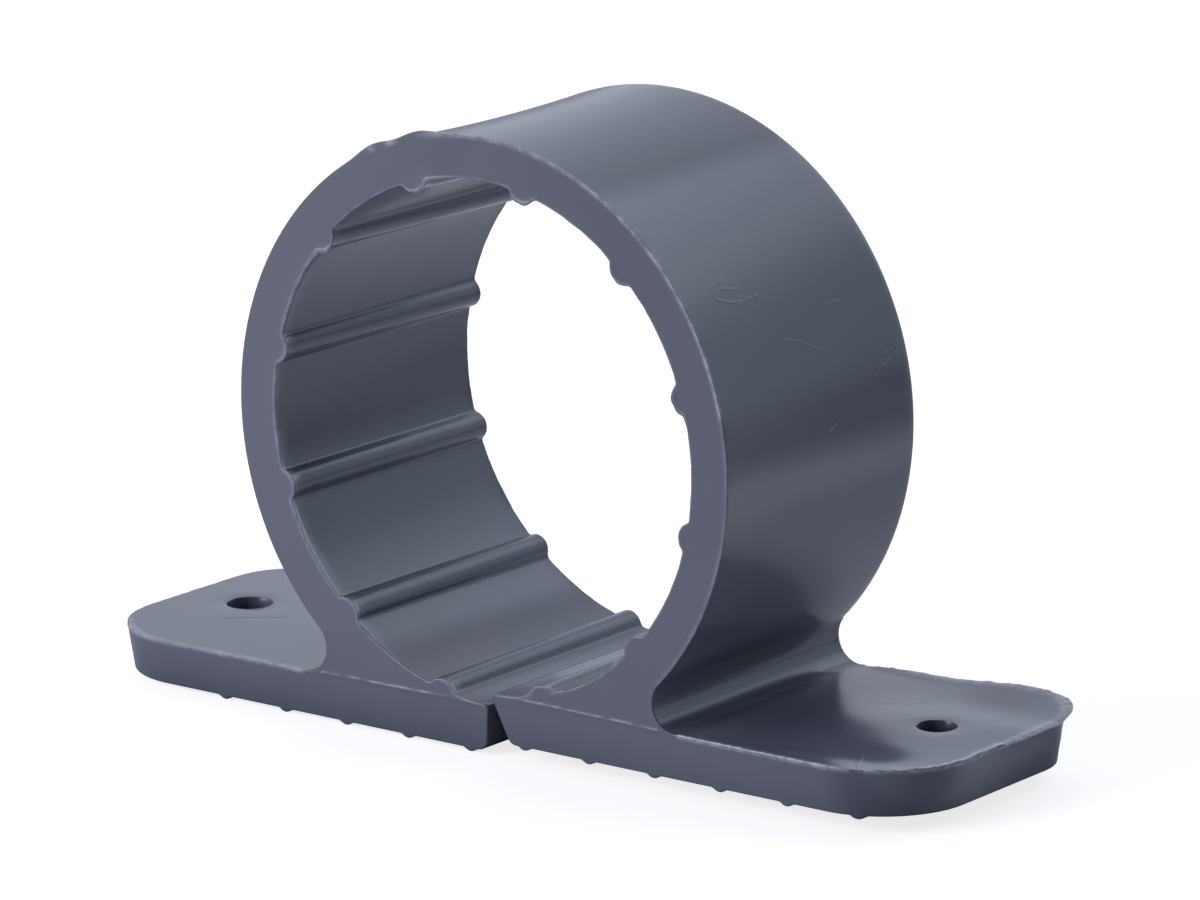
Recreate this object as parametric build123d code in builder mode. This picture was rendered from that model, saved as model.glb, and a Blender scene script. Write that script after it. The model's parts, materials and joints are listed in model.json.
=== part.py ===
"""One-piece moulded plastic pipe clip: a split, ribbed ring on two screw feet.

The ring has one section along Y, the way of the pipe, and the feet run along X.
The slit under the ring lets the clip spring open over a pipe, and the ribs on
the bore's wall carry it. Unscrewed, the ring has sprung a little out of line:
one foot stands higher than the other, and the slit lies right of the middle.

Unit: millimetres. Origin: under the pipe axis, halfway along the ring's width,
at the level of the left foot's ridge crests.
"""

from math import cos, radians, sin, sqrt, tan
import os

from build123d import *

os.makedirs("parts", exist_ok=True)

# Ring
bore_radius = 25.6
ring_wall = 4.4
ring_width = 30.5
center_height = 30.6  # pipe axis above the middle level of the two undersides
ring_turn = 2.0  # degrees, the sprung ring has turned this much about the pipe axis

# Grip ribs along the bore's wall
rib_count = 12
rib_radius = 1.45
rib_height = 1.15
left_arm_slips = (1.8, 2.4, 1.0)  # degrees, the sprung arm's ribs lie this much nearer the slit, from it up

# Feet
feet_shift = -0.4  # middle between the feet's ends, right of the pipe axis
foot_reach = 51.0  # from that middle to a foot's end
foot_thickness = 4.7
foot_draft = 8.5  # degrees, the sides lean in towards the underside
front_corner_radius = 10.0
back_corner_radius = 6.5
crevice_radius = 2.7  # fillet between the ring and a foot's top
foot_step = 1.2  # the right foot stands this much higher than the left

# Screw holes
hole_reach = 42.9  # from the middle between the feet's ends
hole_setback = 0.9  # behind the middle of the ring's width
left_hole_diameter = 4.7
right_hole_diameter = 3.9

# Moulding flash left standing out round the right foot's back corner
flash_reach = 0.9
flash_thickness = 0.5
flash_along_back = 28.0  # from the foot's end
flash_along_end = 15.5  # from the foot's back edge

# Slit under the ring
slit_gap = 0.3  # at the bore's wall
left_end_slope = 9.0  # degrees, the end faces lean apart towards the undersides
right_end_slope = 22.0
bend_angle = 120.0  # degrees from the top, where the sprung part of an arm begins

# Grip ridges across the undersides
ridge_pitch = 7.85
ridge_shift = 0.3  # the row's middle, right of the slit
ridge_inner_gap = 6.7  # between the two ridges next to the slit
left_ridge_count = 5
right_ridge_count = 6
ridge_edge_margin = 0.3  # a ridge stops this far inside the underside's edge
ridge_width = 1.5
ridge_height = 0.35
ridge_slope = 40.0  # degrees, lean of a ridge's sides

LEFT = -1
RIGHT = 1
ring_radius = bore_radius + ring_wall
slit_place = bore_radius * sin(radians(ring_turn))
center_z = ridge_height + foot_step / 2 + center_height
foot_inset = foot_thickness * tan(radians(foot_draft))


def underside(side):
    """Level of a foot's underside, between its ridges."""
    return center_z - center_height + side * foot_step / 2


def foot_top(side):
    """Level of a foot's top, where the mould parts."""
    return underside(side) + foot_thickness


def in_section(reach, angle):
    """Place in the section from a distance to the pipe axis and a clockwise angle from the top."""
    return reach * sin(radians(angle)), center_z + reach * cos(radians(angle))


def slit_corner(side):
    """Place in the section where an arm's bore wall ends at the slit."""
    return slit_place + side * slit_gap / 2, center_z - bore_radius + side * foot_step / 2


def bore_reach(angle):
    """Distance from the pipe axis to the bore's wall at a clockwise angle from the top."""
    if cos(radians(angle)) >= cos(radians(bend_angle)):
        return bore_radius
    # The sprung arc touches the round bore at the bend, so its centre lies on the line to the bend
    side = RIGHT if angle < 180 else LEFT
    bend_x, bend_z = side * sin(radians(bend_angle)), cos(radians(bend_angle))
    end_x, end_z = slit_corner(side)[0], slit_corner(side)[1] - center_z
    shift = (bore_radius**2 - end_x**2 - end_z**2) / (2 * (bore_radius - end_x * bend_x - end_z * bend_z))
    along = shift * (bend_x * sin(radians(angle)) + bend_z * cos(radians(angle)))
    return along + sqrt(along**2 - shift**2 + (bore_radius - shift) ** 2)


def ridge_places(side):
    """Places along X of a foot's ridges, from the slit outwards."""
    first = slit_place + ridge_shift + side * ridge_inner_gap / 2
    count = left_ridge_count if side == LEFT else right_ridge_count
    return [first + side * index * ridge_pitch for index in range(count)]


def foot_plan(side, inset):
    """Outline of a foot from above, drawn in by inset at its end and sides."""
    end = feet_shift + side * (foot_reach - inset)
    with BuildSketch() as plan:
        with Locations(((slit_place + end) / 2, 0)):
            Rectangle(abs(end - slit_place), ring_width - 2 * inset)
        outer = -1 if side == RIGHT else 0
        front_corner = plan.vertices().group_by(Axis.Y)[0].sort_by(Axis.X)[outer]
        fillet(front_corner, front_corner_radius - inset)
        back_corner = plan.vertices().group_by(Axis.Y)[-1].sort_by(Axis.X)[outer]
        fillet(back_corner, back_corner_radius - inset)
    return plan.sketch


foot_tops = {side: foot_plan(side, 0) for side in (LEFT, RIGHT)}
foot_bottoms = {side: foot_plan(side, foot_inset) for side in (LEFT, RIGHT)}
ridge_fields = {side: foot_plan(side, foot_inset + ridge_edge_margin) for side in (LEFT, RIGHT)}

with BuildPart() as pipe_clip:
    # Feet, drafted from the mould's parting line at the top down to the underside
    for side in (LEFT, RIGHT):
        with BuildSketch(Plane.XY.offset(underside(side))):
            add(foot_bottoms[side])
        with BuildSketch(Plane.XY.offset(foot_top(side))):
            add(foot_tops[side])
        loft(ruled=True)

    # Flash, a thin lip level with the right foot's top
    with BuildSketch(Plane.XY.offset(foot_top(RIGHT))):
        add(foot_plan(RIGHT, -flash_reach))
        with Locations((feet_shift + foot_reach, ring_width / 2)):
            Rectangle(2 * flash_along_back, 2 * flash_along_end, mode=Mode.INTERSECT)
    extrude(amount=-flash_thickness)

    # Ring, standing on the tops of the feet with a fillet in each crevice
    with BuildSketch(Plane.XZ):
        with Locations((0, center_z)):
            Circle(ring_radius)
        for side in (LEFT, RIGHT):
            fillet_z = foot_top(side) + crevice_radius
            across = side * sqrt((ring_radius + crevice_radius) ** 2 - (fillet_z - center_z) ** 2)
            share = ring_radius / (ring_radius + crevice_radius)
            on_ring = (across * share, center_z + (fillet_z - center_z) * share)
            on_foot = (across, foot_top(side))
            with BuildLine():
                Line((slit_place, foot_top(side)), on_foot)
                TangentArc(on_foot, on_ring, tangent=(-side, 0))
                Line(on_ring, (slit_place, foot_top(side)))
            make_face()
        with BuildLine():
            Polyline(
                (-foot_reach, foot_top(LEFT)),
                (slit_place, foot_top(LEFT)),
                (slit_place, foot_top(RIGHT)),
                (foot_reach, foot_top(RIGHT)),
                (foot_reach, -ring_wall),
                (-foot_reach, -ring_wall),
                close=True,
            )
        make_face(mode=Mode.SUBTRACT)
    extrude(amount=ring_width / 2, both=True)

    # Ridges across the undersides
    for side in (LEFT, RIGHT):
        with BuildSketch(Plane.XY.offset(underside(side))):
            with Locations(*[(place, 0) for place in ridge_places(side)]):
                Rectangle(ridge_width, ring_width)
            add(ridge_fields[side], mode=Mode.INTERSECT)
        extrude(amount=-ridge_height, taper=ridge_slope)

    # Bore, round above the bends and sprung out of line below them
    with BuildSketch(Plane.XZ):
        with BuildLine():
            bends = {side: in_section(bore_radius, side * bend_angle) for side in (LEFT, RIGHT)}
            ThreePointArc(bends[LEFT], in_section(bore_radius, 0), bends[RIGHT])
            for side in (LEFT, RIGHT):
                downwards = (side * cos(radians(bend_angle)), -sin(radians(bend_angle)))
                TangentArc(bends[side], slit_corner(side), tangent=downwards)
            Line(slit_corner(LEFT), slit_corner(RIGHT))
        make_face()
    extrude(amount=ring_width, both=True, mode=Mode.SUBTRACT)

    # Ribs, half round, along the whole width of the bore
    rib_angles = [(index + 0.5) * 360 / rib_count - ring_turn for index in range(rib_count)]
    for index, slip in enumerate(left_arm_slips):
        rib_angles[rib_count // 2 + index] -= slip
    rib_sink = rib_radius - rib_height
    with BuildSketch(Plane.XZ):
        with Locations(*[in_section(bore_reach(angle) + rib_sink, angle) for angle in rib_angles]):
            Circle(rib_radius)
        with Locations((0, center_z)):
            Circle(bore_radius + ring_wall / 2, mode=Mode.INTERSECT)
    extrude(amount=ring_width / 2, both=True)

    # Slit, closed at the bore and open like a V at the undersides
    with BuildSketch(Plane.XZ):
        with BuildLine():
            spread = {}
            for side, slope in ((LEFT, left_end_slope), (RIGHT, right_end_slope)):
                corner_x, corner_z = slit_corner(side)
                drop = corner_z + ring_wall
                spread[side] = (corner_x + side * drop * tan(radians(slope)), -ring_wall)
            Polyline(
                (slit_corner(LEFT)[0], center_z),
                slit_corner(LEFT),
                spread[LEFT],
                spread[RIGHT],
                slit_corner(RIGHT),
                (slit_corner(RIGHT)[0], center_z),
                close=True,
            )
        make_face()
    extrude(amount=ring_width, both=True, mode=Mode.SUBTRACT)

    # Screw holes
    for side, diameter in ((LEFT, left_hole_diameter), (RIGHT, right_hole_diameter)):
        with Locations((feet_shift + side * hole_reach, hole_setback, foot_top(side))):
            Hole(diameter / 2)

pipe_clip.part.label = "pipe_clip"
export_step(pipe_clip.part, "parts/pipe_clip.step")
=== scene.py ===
"""Pipe clip moulded in grey plastic, as a Blender add-on that is run as a script.

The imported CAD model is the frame. The clip is one moulding, so one operator makes
it: a finer mesh of the CAD node's form, with the rounded edges, the moulding flash
and the satin finish of the real one. A second operator sets the stage.

Unit: metres. Origin and axes are those of the CAD model: the pipe runs along Y,
the feet along X, and the ridges of the left foot stand on Z = 0.
"""

import json
from collections import namedtuple
from math import acos, atan2, ceil, cos, degrees, hypot, inf, pi, radians, sin, sqrt, tan

import bmesh
import bpy
import numpy as np
from bpy.props import FloatProperty, FloatVectorProperty, IntProperty, PointerProperty
from mathutils import Matrix, Vector, noise
from mathutils.geometry import delaunay_2d_cdt


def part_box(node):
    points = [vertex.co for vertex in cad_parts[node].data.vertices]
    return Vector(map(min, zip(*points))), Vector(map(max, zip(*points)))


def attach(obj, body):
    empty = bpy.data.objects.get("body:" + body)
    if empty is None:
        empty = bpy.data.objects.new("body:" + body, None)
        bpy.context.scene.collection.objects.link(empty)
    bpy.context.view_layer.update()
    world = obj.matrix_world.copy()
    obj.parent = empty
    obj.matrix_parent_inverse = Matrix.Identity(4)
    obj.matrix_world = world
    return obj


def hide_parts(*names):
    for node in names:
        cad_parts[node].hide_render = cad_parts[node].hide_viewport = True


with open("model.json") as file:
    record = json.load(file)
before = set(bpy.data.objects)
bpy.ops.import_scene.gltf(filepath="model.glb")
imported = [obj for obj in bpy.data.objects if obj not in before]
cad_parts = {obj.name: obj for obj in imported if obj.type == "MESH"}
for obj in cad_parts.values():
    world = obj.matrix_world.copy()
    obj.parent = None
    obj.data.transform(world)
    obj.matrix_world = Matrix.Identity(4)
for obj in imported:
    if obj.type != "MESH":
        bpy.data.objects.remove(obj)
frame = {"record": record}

bl_info = {
    "name": "Pipe clip",
    "version": (1, 0, 0),
    "blender": (4, 5, 0),
    "location": "3D View > Sidebar > Pipe clip",
    "description": "Makes a moulded plastic pipe clip and a plain stage for it",
    "category": "Object",
}

MM = 0.001
LEFT, RIGHT = -1, 1
SIDES = (LEFT, RIGHT)
FRONT, BACK = -1, 1
FACES = (FRONT, BACK)
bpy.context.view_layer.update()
CLIP_LOW, CLIP_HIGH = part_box("pipe_clip")
MOUNTS = {mount["name"]: mount for mount in frame["record"]["mounts"]}
PIPE_SEAT = MOUNTS["pipe_seat"]
SCREW_HOLES = {LEFT: MOUNTS["left_screw_hole"], RIGHT: MOUNTS["right_screw_hole"]}


def length(name, description, millimetres):
    """A length that a user may change, with its default in millimetres."""
    return FloatProperty(
        name=name, description=description, default=millimetres * MM, unit="LENGTH", precision=5
    )


def angle(name, description, default):
    """An angle that a user may change, with its default in degrees."""
    return FloatProperty(
        name=name, description=description, default=radians(default), subtype="ANGLE", unit="ROTATION"
    )


def number(name, description, default):
    """A whole number that a user may change."""
    return IntProperty(name=name, description=description, default=default)


def share(name, description, default):
    """A part of the whole that a user may change, from 0 to 1."""
    return FloatProperty(
        name=name, description=description, default=default, min=0, max=1, subtype="FACTOR"
    )


def colour(name, description, default):
    """A colour that a user may change, in linear light."""
    return FloatVectorProperty(
        name=name, description=description, default=default, min=0, max=1, size=3, subtype="COLOR"
    )


def power(name, description, default):
    """A lamp's power that a user may change, in watts."""
    return FloatProperty(name=name, description=description, default=default, unit="POWER")


class ClipSizes(bpy.types.PropertyGroup):
    """Sizes of the clip, most of them the CAD model's own."""

    axis_height: length("Axis height", "Pipe axis above the left foot's ridges", PIPE_SEAT["pos_m"][2] / MM)
    ring_wall: length("Ring wall", "Thickness of the ring's wall", 4.4)
    ring_width: length("Ring width", "Width of the ring along the pipe", PIPE_SEAT["dims"]["length_mm"])
    ring_turn: angle("Ring turn", "How far the sprung ring has turned about the pipe", 2)
    waist: length("Waist", "How far the ring's outside is drawn in at the middle of its width", 0.33)
    rib_count: number("Ribs", "Number of ribs round the bore", 12)
    rib_radius: length("Rib radius", "Radius of a rib's round back", 1.45)
    rib_height: length("Rib height", "How far a rib stands in from the bore's wall", 1.15)
    rib_front: share("Rib front", "Height of a rib's front end, as a share of its back end's", 0.8)
    rib_fillet: length("Rib fillet", "Radius of the fillet along a rib's foot", 0.55)
    foot_thickness: length("Foot thickness", "Thickness of a foot between its ridges", 4.7)
    foot_draft: angle("Foot draft", "Lean of a foot's sides towards the underside", 8.5)
    foot_step: length("Foot step", "How much higher the right foot stands", 1.2)
    front_corner: length("Front corners", "Radius of the feet's front corners", 10)
    back_corner: length("Back corners", "Radius of the feet's back corners", 6.5)
    crevice: length("Crevice fillet", "Radius of the fillet between the ring and a foot", 2.7)
    crown: length("Crown", "How far the right foot's top swells round its screw hole", 0.4)
    gutter: length("Gutter", "How far the right foot's top has sunk behind its front edge", 0.4)
    slit_gap: length("Slit gap", "Gap between the ring's ends at the bore", 0.3)
    left_slope: angle("Left end slope", "Lean of the left arm's end face", 9)
    right_slope: angle("Right end slope", "Lean of the right arm's end face", 20)
    bend: angle("Bend", "Angle from the top where the sprung part of an arm begins", 120)
    ridge_pitch: length("Ridge pitch", "Distance from ridge to ridge under the feet", 7.85)
    ridge_shift: length("Ridge shift", "Middle of the row of ridges, right of the slit", 0.3)
    ridge_gap: length("Ridge gap", "Distance between the two ridges next to the slit", 6.7)
    ridge_width: length("Ridge width", "Width of a ridge at its foot", 1.5)
    ridge_height: length("Ridge height", "How far a ridge stands down", 0.35)
    left_ridges: number("Left ridges", "Number of ridges under the left foot", 5)
    right_ridges: number("Right ridges", "Number of ridges under the right foot", 6)


class ClipFlash(bpy.types.PropertyGroup):
    """Sizes of the flash that moulding left on the clip's edges."""

    room: length("Room", "How far plain surfaces stand back, to keep the flash in the CAD box", 0.12)
    ring: length("Ring flash", "Height of the flash along the ring's outer front edge", 0.03)
    bore: length("Bore flash", "Height of the flash along the bore's front edge", 0.1)
    foot: length("Foot flash", "Height of the flash along the feet's top edges", 0.16)
    lip: length("Lip", "How far the flash stands out at the right foot's back corner", 0.9)
    curl: length("Curl", "How far that lip curls up at the corner", 0.9)
    seam: length("Seam", "Height of the parting line across the front and back faces", 0.09)


class ClipFinish(bpy.types.PropertyGroup):
    """Colours and gloss of the plastic."""

    plastic: colour("Plastic", "Colour of the plastic", (0.092, 0.097, 0.135))
    mottle: colour("Mottle", "Colour of the slightly paler clouds in the plastic", (0.106, 0.111, 0.152))
    # The flash colour is partly the thin flash's own whitening and partly painted light: light glowing
    # through thin flash and sheen of edges that catch light
    flash: colour("Flash", "Colour of thin flash, through which light shows", (0.4, 0.42, 0.48))
    scuff: colour("Scuff", "Colour of scratches", (0.15, 0.158, 0.195))
    roughness: share("Roughness", "Roughness of the clean moulded surface", 0.235)


class StageSettings(bpy.types.PropertyGroup):
    """Light and backdrop of the picture."""

    backdrop: colour("Backdrop", "Colour of the light from the floor and all round", (0.8, 0.86, 1))
    top: power("Top light", "Power of the light from above", 2.6)
    left: power("Left light", "Power of the light from the front left", 9.8)
    right: power("Right light", "Power of the light from the right", 3.9)
    back: power("Back light", "Power of the light from behind", 5.7)
    world: FloatProperty(name="World light", description="Strength of the light from all round", default=0.06)


SEED_SHIFTS = (17.31, 5.13, 9.77)  # from a seed's noise to the next one's, so that they look unrelated


def noisy(place, size, seed):
    """Smooth noise from -1 to 1 at a place, with swells about as wide as the size."""
    return noise.noise(Vector(place) / size + Vector([seed * shift for shift in SEED_SHIFTS]))


def rough(place, mean, layers, least=-inf):
    """A mean made uneven by layers of noise, but not less than the least value.

    Each layer has its amount, the size of its swells and its seed.
    """
    for amount, size, seed in layers:
        mean += amount * noisy(place, size, seed)
    return max(least, mean)


def partly(value, even, uneven):
    """An even part, and an uneven part that goes with a value."""
    return even + uneven * value


def swell(value, middle, half_width):
    """1 at the middle, falling smoothly to 0 at a distance of half_width."""
    near = 1 - min(1, abs(value - middle) / half_width)
    return near * near * (3 - 2 * near)


def step(value, start, end):
    """0 before the start, 1 past the end and a smooth rise in between."""
    part = min(1, max(0, (value - start) / (end - start)))
    return part * part * (3 - 2 * part)


def rise(value, steps):
    """Sum of smooth rises, each with its share, its start and its end."""
    return sum(part * step(value, start, end) for part, start, end in steps)


def spread(start, end, pitch):
    """Evenly spaced values from start to end, both of them included, about a pitch apart."""
    return np.linspace(start, end, max(2, 1 + ceil(abs(end - start) / pitch)))


def corner_arc(before, corner, after, radius, count):
    """Points of the arc that rounds a corner between two straight runs."""
    corner = np.array(corner)
    back = np.array(before) - corner
    back /= hypot(*back)
    on = np.array(after) - corner
    on /= hypot(*on)
    half = acos(float(back @ on)) / 2
    middle = corner + (back + on) / hypot(*(back + on)) * radius / sin(half)
    start = corner + back * radius / tan(half) - middle
    end = corner + on * radius / tan(half) - middle
    first = atan2(start[1], start[0])
    turn = atan2(start[0] * end[1] - start[1] * end[0], float(start @ end))
    turns = first + turn * np.linspace(0, 1, count)
    return [tuple(middle + radius * np.array((cos(t), sin(t)))) for t in turns]


# Fineness of the edges: distances from point to point, and numbers of points round small curves
EDGE_PITCH = 0.35 * MM
RING_PITCH = 0.4 * MM
BORE_PITCH = 0.6 * MM
RIB_BACK_POINTS = 15
RIB_FILLET_POINTS = 5
CREVICE_POINTS = 17
SLIT_CORNER_POINTS = 7


class ClipForm:
    """Outlines and surfaces of the clip.

    The front and back faces are worked out as if unrolled: a place on them is a
    distance along, which is X in the middle and follows the rim round the feet's
    corners and ends, and a level, which is Z.
    """

    seam_y = 1.75 * MM  # where the front and back halves of a foot's rim meet
    left_arm_slips = (1.8, 2.4, 1.0)  # degrees, its ribs lie this much nearer the slit, from it up
    bore_trim = 0.45 * MM  # left free at each end of the bore's wall, for the slit's rounded corner
    slit_top_radius = 0.35 * MM
    slit_foot_radius = {LEFT: 1.4 * MM, RIGHT: 0.9 * MM}
    slit_ground = 5 * MM  # stretch of the underside that a slit's lower corner is rounded against

    # Parting line across the faces: its half width, its unevenness and how it strays from its level
    parting_half_width = 0.28 * MM
    parting_roughness = (0.65, ((0.6, 1.3 * MM, 3),))
    parting_stray = (0, ((0.1 * MM, 2.5 * MM, 4),))

    # Right foot's top, along X and Y: how wide the curled lip is, the crown and the gutter.
    # A swell has its middle and half width, a step its start and end
    curl_width = 1.2 * MM
    curl_widening = 7.3 * MM
    curl_widens = (28 * MM, 44 * MM)
    crown_x, crown_y = (41 * MM, 13 * MM), (1 * MM, 10 * MM)
    gutter_y = (-10.5 * MM, 4.6 * MM)
    gutter_starts, gutter_ends = (27 * MM, 37 * MM), (43 * MM, 49 * MM)

    def __init__(self, sizes, flash):
        self.sizes = sizes
        self.flash = flash
        self.axis = sizes.axis_height
        self.ring_radius = CLIP_HIGH[2] - sizes.axis_height - flash.room
        self.bore_radius = CLIP_HIGH[2] - sizes.axis_height - sizes.ring_wall
        self.half_width = sizes.ring_width / 2 - flash.room
        self.corner = {FRONT: sizes.front_corner, BACK: sizes.back_corner}
        self.slit = self.bore_radius * sin(sizes.ring_turn)
        self.slope = {LEFT: sizes.left_slope, RIGHT: sizes.right_slope}
        self.end = {LEFT: CLIP_LOW[0] + flash.room, RIGHT: CLIP_HIGH[0] - flash.lip - flash.room / 2}
        self.under = {LEFT: sizes.ridge_height, RIGHT: sizes.ridge_height + sizes.foot_step}
        self.top = {side: self.under[side] + sizes.foot_thickness for side in SIDES}
        self.hole = {side: tuple(SCREW_HOLES[side]["pos_m"][:2]) for side in SIDES}
        self.hole_radius = {side: SCREW_HOLES[side]["dims"]["r_mm"] * MM for side in SIDES}
        self.crevice_x = {}
        for side in SIDES:
            drop = self.axis - self.top[side] - sizes.crevice
            self.crevice_x[side] = side * sqrt((self.ring_radius + sizes.crevice) ** 2 - drop**2)
        counts = {LEFT: sizes.left_ridges, RIGHT: sizes.right_ridges}
        self.ridges = {side: self.ridge_row(side, counts[side]) for side in SIDES}
        # Rises of the lip's curl along the right foot's back edge and along its end: share, start and end
        self.curl_x = ((0.2, self.crevice_x[RIGHT], 30 * MM), (0.8, 33 * MM, 43 * MM))
        self.curl_y = ((0.33, 0, 6 * MM), (0.67, 8 * MM, 13 * MM))

    def ridge_row(self, side, count):
        """Places along X of a foot's ridges."""
        first = self.slit + self.sizes.ridge_shift + side * self.sizes.ridge_gap / 2
        return [first + side * index * self.sizes.ridge_pitch for index in range(count)]

    def seam_along(self, side, face):
        """How far along the rim the seam at a foot's end lies."""
        straight = abs(self.end[side]) - self.corner[face]
        past = self.half_width - self.corner[face] - face * self.seam_y
        return side * (straight + self.corner[face] * pi / 2 + past)

    def on_rim(self, face, along, out):
        """Place from above, along the rim and outwards from it."""
        side = RIGHT if along > 0 else LEFT
        radius = self.corner[face]
        straight = abs(self.end[side]) - radius
        past = side * along - straight
        if past <= 0:
            return along, face * (self.half_width + out)
        turn = past / radius
        if turn < pi / 2:
            reach = radius + out
            x = side * (straight + reach * sin(turn))
            return x, face * (self.half_width - radius + reach * cos(turn))
        return self.end[side] + side * out, face * (self.half_width - radius * (1 - pi / 2) - past)

    def slit_corner(self, side):
        """Where an arm's bore wall ends at the slit."""
        gap = side * self.sizes.slit_gap / 2
        return self.slit + gap, self.axis - self.bore_radius + side * self.sizes.foot_step / 2

    def parting(self, along):
        """Level of the mould's parting line along the front and back faces."""
        side = RIGHT if along > self.slit else LEFT
        end_x, end_z = self.slit_corner(side)
        part = min(1, max(0, (along - self.crevice_x[side]) / (end_x - self.crevice_x[side])))
        return self.top[side] + part * (end_z - self.top[side])

    def draft(self, along, level):
        """How far the drafted face stands back below the parting line."""
        return max(0, self.parting(along) - level) * tan(self.sizes.foot_draft)

    def face_out(self, face, along, level):
        """How far the front or back face stands out, the seam at the parting line included."""
        side = RIGHT if along > self.slit else LEFT
        out = -self.draft(along, level)
        if abs(along) < abs(self.crevice_x[side]):
            ragged = rough((along, level, face), *self.parting_roughness)
            off = level - self.parting(along) - rough((along, 0, face), *self.parting_stray)
            out += self.flash.seam * ragged * swell(off, 0, self.parting_half_width)
        return out

    def bore_reach(self, side, turn):
        """Distance from the pipe axis to the bore's wall, at an angle clockwise from the top."""
        if cos(turn) >= cos(self.sizes.bend):
            return self.bore_radius
        bend_x, bend_z = side * sin(self.sizes.bend), cos(self.sizes.bend)
        end_x, end_z = self.slit_corner(side)
        end_z -= self.axis
        shift = self.bore_radius**2 - end_x**2 - end_z**2
        shift /= 2 * (self.bore_radius - end_x * bend_x - end_z * bend_z)
        near = shift * (bend_x * sin(turn) + bend_z * cos(turn))
        return near + sqrt(near**2 - shift**2 + (self.bore_radius - shift) ** 2)

    def rib_turns(self):
        """Angles of the ribs, clockwise from the top, in the order that the bore's outline passes them."""
        pitch = 2 * pi / self.sizes.rib_count
        turns = [(index + 0.5) * pitch - self.sizes.ring_turn for index in range(self.sizes.rib_count)]
        for index, slip in enumerate(self.left_arm_slips):
            turns[self.sizes.rib_count // 2 + index] -= radians(slip)
        return sorted(turn if turn > pi else turn + 2 * pi for turn in turns)

    def rib_section(self):
        """Section of a rib: places along the bore's wall, with the height over it."""
        radius, fillet = self.sizes.rib_radius, self.sizes.rib_fillet
        sink = radius - self.sizes.rib_height
        foot = sqrt((radius + fillet) ** 2 - (sink + fillet) ** 2)
        lean = atan2(foot, sink + fillet)
        back_turns = np.linspace(-lean, lean, RIB_BACK_POINTS)
        back = [(radius * sin(t), radius * cos(t) - sink) for t in back_turns]
        fillet_turns = np.linspace(0, lean, RIB_FILLET_POINTS)[:-1]
        flank = [(foot - fillet * sin(t), fillet - fillet * cos(t)) for t in fillet_turns]
        return [(-place, height) for place, height in flank] + back + flank[::-1]

    def bore_outline(self, face):
        """Places and angles along the bore's wall and ribs, clockwise from the left arm's end."""
        start = atan2(*np.subtract(self.slit_corner(LEFT), (0, self.axis)))
        end = 2 * pi + atan2(*np.subtract(self.slit_corner(RIGHT), (0, self.axis)))
        tall = self.sizes.rib_front if face == FRONT else 1
        trim = self.bore_trim / self.bore_radius
        stops = [(start + trim, 0)]
        for rib in self.rib_turns():
            for place, height in self.rib_section():
                stops.append((rib + place / self.bore_radius, height))
        stops.append((end - trim, 0))
        filled = []
        for here, there in zip(stops, stops[1:]):
            gap = self.bore_radius * (there[0] - here[0])
            count = ceil(gap / BORE_PITCH) if here[1] == 0 and there[1] == 0 else 1
            filled += [(here[0] + (there[0] - here[0]) * index / count, here[1]) for index in range(count)]
        filled.append(stops[-1])
        points = []
        for turn, height in filled:
            reach = self.bore_reach(LEFT if turn < 2 * pi else RIGHT, turn) - tall * height
            points.append((reach * sin(turn), self.axis + reach * cos(turn)))
        return points, [turn for turn, height in filled]

    def slit_outline(self, side, bore_end):
        """An arm's end face from its underside up to the bore, with both corners rounded."""
        top = self.slit_corner(side)
        drop = top[1] - self.under[side]
        low = (top[0] + side * drop * tan(self.slope[side]), self.under[side])
        ground = (low[0] + side * self.slit_ground, low[1])
        points = corner_arc(ground, low, top, self.slit_foot_radius[side], SLIT_CORNER_POINTS)
        points += corner_arc(low, top, bore_end, self.slit_top_radius, SLIT_CORNER_POINTS)
        return points

    def crevice_outline(self, side):
        """Fillet from a foot's top up to the ring's outside, as places of an edge."""
        middle_x, middle_z = self.crevice_x[side], self.top[side] + self.sizes.crevice
        lean = pi - atan2(abs(middle_x), self.axis - middle_z)
        places = []
        for bend in np.linspace(0, lean, CREVICE_POINTS):
            x = middle_x - side * self.sizes.crevice * sin(bend)
            places.append((x, middle_z - self.sizes.crevice * cos(bend), "crevice", 0))
        return places

    def ring_end(self, side):
        """Place on the ring's outside, from the pipe axis, where the crevice's fillet begins."""
        part = self.ring_radius / (self.ring_radius + self.sizes.crevice)
        return self.crevice_x[side] * part, (self.top[side] + self.sizes.crevice - self.axis) * part

    def upper_run(self, face):
        """Edge of a face from the left foot's end over the ring to the right foot's end."""
        places = []
        for along in spread(self.seam_along(LEFT, face), self.crevice_x[LEFT], EDGE_PITCH)[:-1]:
            places.append((along, self.top[LEFT], "foot", 0))
        places += self.crevice_outline(LEFT)
        start = places.pop()
        first = atan2(start[0], start[1] - self.axis)
        last = atan2(*self.ring_end(RIGHT))
        for turn in spread(first, last, RING_PITCH / self.ring_radius):
            x = self.ring_radius * sin(turn)
            places.append((x, self.axis + self.ring_radius * cos(turn), "ring", turn))
        places += self.crevice_outline(RIGHT)[-2::-1]
        for along in spread(self.crevice_x[RIGHT], self.seam_along(RIGHT, face), EDGE_PITCH)[1:]:
            places.append((along, self.top[RIGHT], "foot", 0))
        return Run(places, 1)

    def lower_run(self, face):
        """Edge of a face from the left foot's end along the undersides, by way of the slit and the bore."""
        bore, turns = self.bore_outline(face)
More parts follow.
